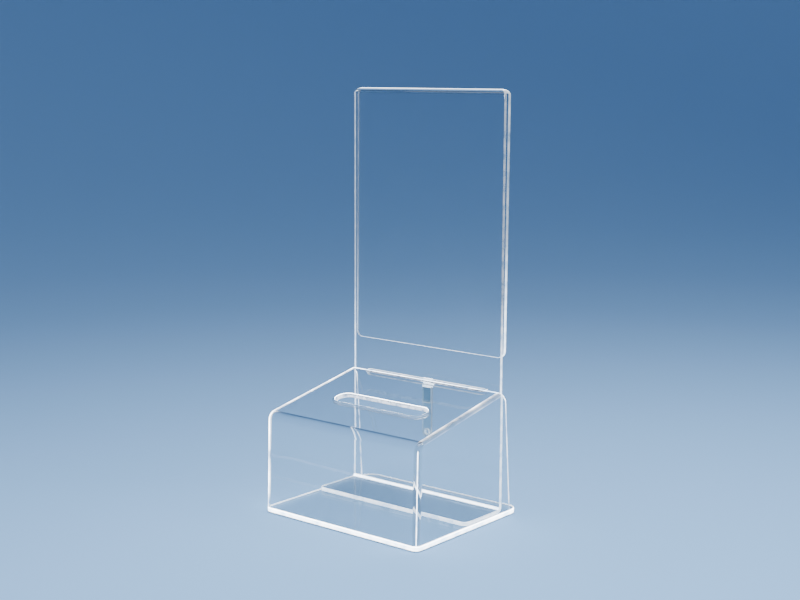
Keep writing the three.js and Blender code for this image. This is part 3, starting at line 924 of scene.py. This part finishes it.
# %% [markdown]
# The tall header, its folded pocket and the foot inside the box are one sheet of clear plastic,
# bent three times with heat. Its side view is a line with a constant thickness, so the piece is
# drawn in the order in which it is made: lay out the middle line with its bends, give it its
# thickness on both sides, push it across the width, round its corners and cut the slot.

# %% Sign panel
HEADER_RISE, FLAP_ABOVE_RIDGE = 286.4, 22.5
FOLD_PITCH, MOUTH_PITCH, PANEL_CORNER = 4.9, 3.75, 4.5
FOOT_REACH, FOOT_CORNER, FLOOR_BEND = 39.5, 4.5, 1.5
SLOT_OVERRUN = 0.5
flap_bottom = RIDGE_HEIGHT + FLAP_ABOVE_RIDGE


def middle_line():
    """Points of the sheet's middle line with the way that it runs there, foot first."""
    bend, fold, floor = FLOOR_BEND + SHEET_BACK, FOLD_PITCH / 2, GAP + SHEET_BACK
    fold_height = HEADER_RISE - SHEET_BACK - fold
    lean = math.atan2(FOLD_PITCH - MOUTH_PITCH, fold_height - flap_bottom)
    line = [(-FOOT_REACH, floor, 0)]
    for step in range(ARC_STEPS + 1):
        angle = math.pi / 2 * step / ARC_STEPS
        line.append((bend * (math.sin(angle) - 1), floor + bend * (1 - math.cos(angle)), angle))
    for step in range(2 * ARC_STEPS + 1):
        angle = math.pi - (math.pi + lean) * step / (2 * ARC_STEPS)
        line.append((fold + fold * math.cos(angle), fold_height + fold * math.sin(angle),
                     angle - math.pi / 2))
    return line + [(MOUTH_PITCH, flap_bottom, -math.pi / 2 - lean)]


def sheet_outline():
    line = middle_line()
    sides = [[(y - side * SHEET_BACK * math.sin(way), z + side * SHEET_BACK * math.cos(way))
              for y, z, way in line] for side in (-1, 1)]
    return sides[0] + sides[1][::-1]


def corner_cutter(axis, cu, cv, to_u, to_v, radius, start, end):
    """What lies outside a quarter circle at the corner (cu, cv), which points to_u and to_v."""
    reach = radius + OVERRUN
    outline = arc(0, 0, radius, 90, 0) + [(reach, 0), (reach, reach), (0, reach)]
    placed_outline = [(cu + to_u * (u - radius), cv + to_v * (v - radius)) for u, v in outline]
    return prism(placed_outline, axis, start, end, RIM)


sheet = prism(sheet_outline(), "x", -PANEL_WIDTH / 2, PANEL_WIDTH / 2)
slot_radius = (slot_top - slot_bottom) / 2
slot_middle = (slot_top + slot_bottom) / 2
round_end = slot_radius - math.sqrt(slot_radius ** 2 - (tongue_top - slot_middle) ** 2)
slot_half = TONGUE_WIDTH / 2 + GAP + round_end - slot_radius
leaf_gap = MOUTH_PITCH / 2
slot_outline = (arc(slot_half, slot_middle, slot_radius, -90, 90)
                + arc(-slot_half, slot_middle, slot_radius, 90, 270))
sheet = carve(sheet, prism(slot_outline, "y", -SHEET, SHEET_BACK + SLOT_OVERRUN, RIM))
behind = FOLD_PITCH + OVERRUN
for side in (-1, 1):
    edge = side * PANEL_WIDTH / 2
    for cutter in (
            corner_cutter("y", edge, HEADER_RISE, side, 1, PANEL_CORNER, -OVERRUN, behind),
            corner_cutter("y", edge, flap_bottom, side, -1, PANEL_CORNER, leaf_gap, behind),
            corner_cutter("z", edge, -FOOT_REACH, side, -1, FOOT_CORNER, -OVERRUN, OVERRUN)):
        sheet = carve(sheet, cutter)
print("sheet faces", len(sheet.faces))

# %% [markdown]
# The prism's two end caps are the sheet's long cut sides, and its two outline ends are the flap's
# lower edge and the foot's front edge. They were drawn as clear faces, so they are turned into
# rim here: a face that looks sideways, or that lies at one of the two ends of the middle line. The
# fold's outside is a rounded corner with a painted glint, and the hollow of the floor bend gets a
# painted bright line. After softening, the flap's edges and those of the slot get their own two
# finishes, with a stronger and a weaker painted glow.

# %% Rims of the sheet
ASIDE, SQUARE_ON, SLIGHTLY = 0.7, 0.9, 0.05
FOOT_END, FLAP_END = 0.1, 0.3
FLAP_ASIDE, SLOT_ZONE, SLOT_END_ZONE = 0.1, 0.3, 2
SHEET_EDGE = 0.18


def is_cut_edge(face):
    centre = face.calc_center_median()
    across = abs(face.normal.x) > ASIDE
    foot_end = face.normal.y < -SQUARE_ON and centre.y < FOOT_END - FOOT_REACH
    flap_end = face.normal.z < -SQUARE_ON and abs(centre.z - flap_bottom) < FLAP_END
    return across or foot_end or flap_end


def is_fold_outside(face):
    middle = Vector((0, FOLD_PITCH / 2, HEADER_RISE - SHEET_BACK - FOLD_PITCH / 2))
    away = face.calc_center_median() - middle
    return away.z > 0 and away.yz.dot(face.normal.yz) > 0


def is_floor_bend(face):
    centre = face.calc_center_median()
    hollow_side = face.normal.y < -SLIGHTLY and face.normal.z > SLIGHTLY
    return hollow_side and centre.y > -FLOOR_BEND - SHEET and centre.z < GAP + FLOOR_BEND + SHEET


for face in sheet.faces:
    if is_cut_edge(face):
        face.material_index = RIM
    elif is_floor_bend(face):
        face.material_index = PAINTED_LINE
    elif is_fold_outside(face):
        face.material_index = CORNER
sheet = soften(sheet, SHEET_EDGE)
for face in [face for face in sheet.faces if face.material_index in (RIM, PAINTED_LINE)]:
    centre = face.calc_center_median()
    at_slot_height = abs(centre.z - slot_middle) < slot_radius + SLOT_ZONE
    in_slot = at_slot_height and abs(centre.x) < TONGUE_WIDTH / 2 + SLOT_END_ZONE
    if centre.y > leaf_gap and abs(face.normal.x) > FLAP_ASIDE:
        face.material_index = EXTRA
    elif in_slot and (face.material_index == RIM or centre.z < slot_middle):
        face.material_index = HIDDEN
finish_piece(sheet, "folded_sign_panel", "panel", "sign_panel", sheet_finish)

# %% [markdown]
# The latch hangs behind the sheet: a narrow strip with a thicker, darker head, a round knuckle
# with a painted glint that turns on the pin, and at the lower end a small raised eye for a
# fingernail. Its side view is one outline, so that no short edges are left in it for the bevel to
# trip over.

# %% Latch strap and pin
EYE, EYE_RIM, EYE_RISE = 1.7, 0.9, 0.3
BRIGHT_PART, STRAP_EDGE = 2.8, 0.14
half_latch = LATCH_WIDTH / 2
eye_z = pin_z - LATCH_LENGTH + half_latch
strap_end = eye_z - half_latch
shoulder = pin_z - HEAD_LENGTH
bright_foot = pin_z - KNUCKLE - BRIGHT_PART


def strap_outline():
    """The strap's side view: up its front, over the knuckle and down its back."""
    tilt = math.degrees(math.asin(HEAD_THICK / 2 / KNUCKLE))
    strip, head = pin_y - STRIP_THICK / 2, pin_y - HEAD_THICK / 2
    front = [(strip, strap_end), (strip, shoulder), (head, shoulder), (head, bright_foot)]
    back = [(2 * pin_y - y, z) for y, z in reversed(front)]
    return front + arc(pin_y, pin_z, KNUCKLE, 270 - tilt, tilt - 90, steps=30) + back


def round_end_cutter():
    """What lies outside the half circle at the strap's lower end."""
    reach, low = half_latch + OVERRUN, strap_end - OVERRUN
    outline = arc(0, eye_z, half_latch, 180, 360, steps=28) + [
        (reach, eye_z), (reach, low), (-reach, low), (-reach, eye_z)]
    return prism(outline, "y", pin_y - OVERRUN, pin_y + OVERRUN, RIM)


strap = prism(strap_outline(), "x", -half_latch, half_latch)
# Faces at the knuckle, and a little below it, get the painted glint; the rest of the head is darker
# smoke.
for face in strap.faces:
    height = face.calc_center_median().z
    if abs(face.normal.x) > SQUARE_ON:
        face.material_index = RIM
    elif height > bright_foot:
        face.material_index = EXTRA
    elif height > shoulder:
        face.material_index = CORNER
rise, strap_cut = STRIP_THICK / 2 + EYE_RISE, half_latch + SIDE_OVERRUN
eye_ring = disc("y", 0, eye_z, EYE + EYE_RIM, pin_y - rise, pin_y + rise, RIM, steps=40)
eye_hole = disc("y", 0, eye_z, EYE, pin_y - OVERRUN, pin_y + OVERRUN, PAINTED_LINE, steps=32)
pin_hole = disc("x", pin_y, pin_z, bore, -strap_cut, strap_cut, RIM, steps=24)
strap = carve(strap, round_end_cutter())
strap = carve(strap, eye_ring, "UNION")
strap = carve(strap, eye_hole)
strap = carve(strap, pin_hole)
strap = soften(strap, STRAP_EDGE)
finish_piece(strap, "latch_strip", "latch", "latch_strap", strap_finish)

PIN_EDGE = 0.18
pin = disc("x", pin_y, pin_z, PIN, -ear_outer, ear_outer, RIM, steps=32)
pin = soften(pin, PIN_EDGE)
finish_piece(pin, "latch_pin_rod", "case", "latch_pin", strap_finish)

# %% [markdown]
# Clear plastic shows whatever stands round it. In the photograph that is a pale cloth, which
# sweeps up behind the box and darkens towards the top. Here it is a pale blue-grey floor that
# curves up into a wall all the way round, far enough out that no other view is blocked. Because
# the lamps are near the box, the wall darkens by itself.

# %% Floor and backdrop
FLOOR_RADIUS, WALL_RADIUS, WALL_TOP = 0.9, 3.2, 4.2
FLOOR_Z = -0.0002
FLOOR_RINGS, BACKDROP_STEPS, BACKDROP_ROUND = 4, 14, 96
CLOTH_BLUE = (0.30, 0.52, 0.80, 1)


def make_backdrop():
    profile = [(FLOOR_RADIUS * i / FLOOR_RINGS, FLOOR_Z) for i in range(1, FLOOR_RINGS + 1)]
    bend = WALL_RADIUS - FLOOR_RADIUS
    profile += arc(FLOOR_RADIUS, FLOOR_Z + bend, bend, -90, 0, BACKDROP_STEPS)[1:]
    profile.append((WALL_RADIUS, WALL_TOP))
    mesh = bmesh.new()
    centre = mesh.verts.new((0, 0, FLOOR_Z))
    rings = []
    for radius, height in profile:
        circle = arc(0, 0, radius, 0, 360, BACKDROP_ROUND)[:-1]
        rings.append([mesh.verts.new((x, y, height)) for x, y in circle])
    for k in range(BACKDROP_ROUND):
        j = (k + 1) % BACKDROP_ROUND
        mesh.faces.new((centre, rings[0][k], rings[0][j]))
        for near, far in zip(rings, rings[1:]):
            mesh.faces.new((near[k], far[k], far[j], near[j]))
    data = bpy.data.meshes.new("backdrop")
    mesh.to_mesh(data)
    mesh.free()
    smooth(data)
    backdrop = into_scene("backdrop", data)
    material, tree, shader = empty_material("pale_cloth")
    shader.inputs["Roughness"].default_value = 0.9
    shader.inputs["Specular IOR Level"].default_value = 0.1
    shader.inputs["Base Color"].default_value = CLOTH_BLUE
    data.materials.append(material)


make_backdrop()
print("backdrop: floor radius", FLOOR_RADIUS, "wall radius", WALL_RADIUS)

# %% [markdown]
# The light is a plain studio set of two large soft lamps. One stands high on the right and a
# little behind: it adds to the bright edges, which are mostly painted glow, and throws the soft
# shadow to the left. The other hangs over the front and keeps the floor pale. A dim, even sky
# fills what is left.

# %% Lights
LAMP_TINT = (0.84, 0.92, 1.0)
LAMP_SPREAD = math.radians(130)
SKY_TINT = (0.76, 0.84, 0.93, 1)
SKY_STRENGTH = 0.6


def area_lamp(name, place, aim, size, power):
    """A soft rectangular lamp that looks at a point."""
    data = bpy.data.lights.new(name, "AREA")
    data.shape = "RECTANGLE"
    data.size, data.size_y = size
    data.energy = power
    data.color = LAMP_TINT
    data.spread = LAMP_SPREAD
    lamp = into_scene(name, data)
    lamp.location = place
    way = Vector(aim) - Vector(place)
    lamp.rotation_euler = way.to_track_quat("-Z", "Y").to_euler()


area_lamp("key_lamp", place=(0.7, 0.3, 0.95), aim=(0.1, 0, 0), size=(0.6, 0.6), power=7.5)
area_lamp("top_fill", place=(0.15, -0.35, 0.95), aim=(0.15, -0.35, 0), size=(0.8, 0.6), power=6.5)

world = bpy.data.worlds.new("soft_sky")
world.use_nodes = True
sky = world.node_tree.nodes["Background"]
sky.inputs["Color"].default_value = SKY_TINT
sky.inputs["Strength"].default_value = SKY_STRENGTH
bpy.context.scene.world = world

# %% [markdown]
# The last step prints the names of the finished pieces.


print("pieces:", [p.name for p in pieces])
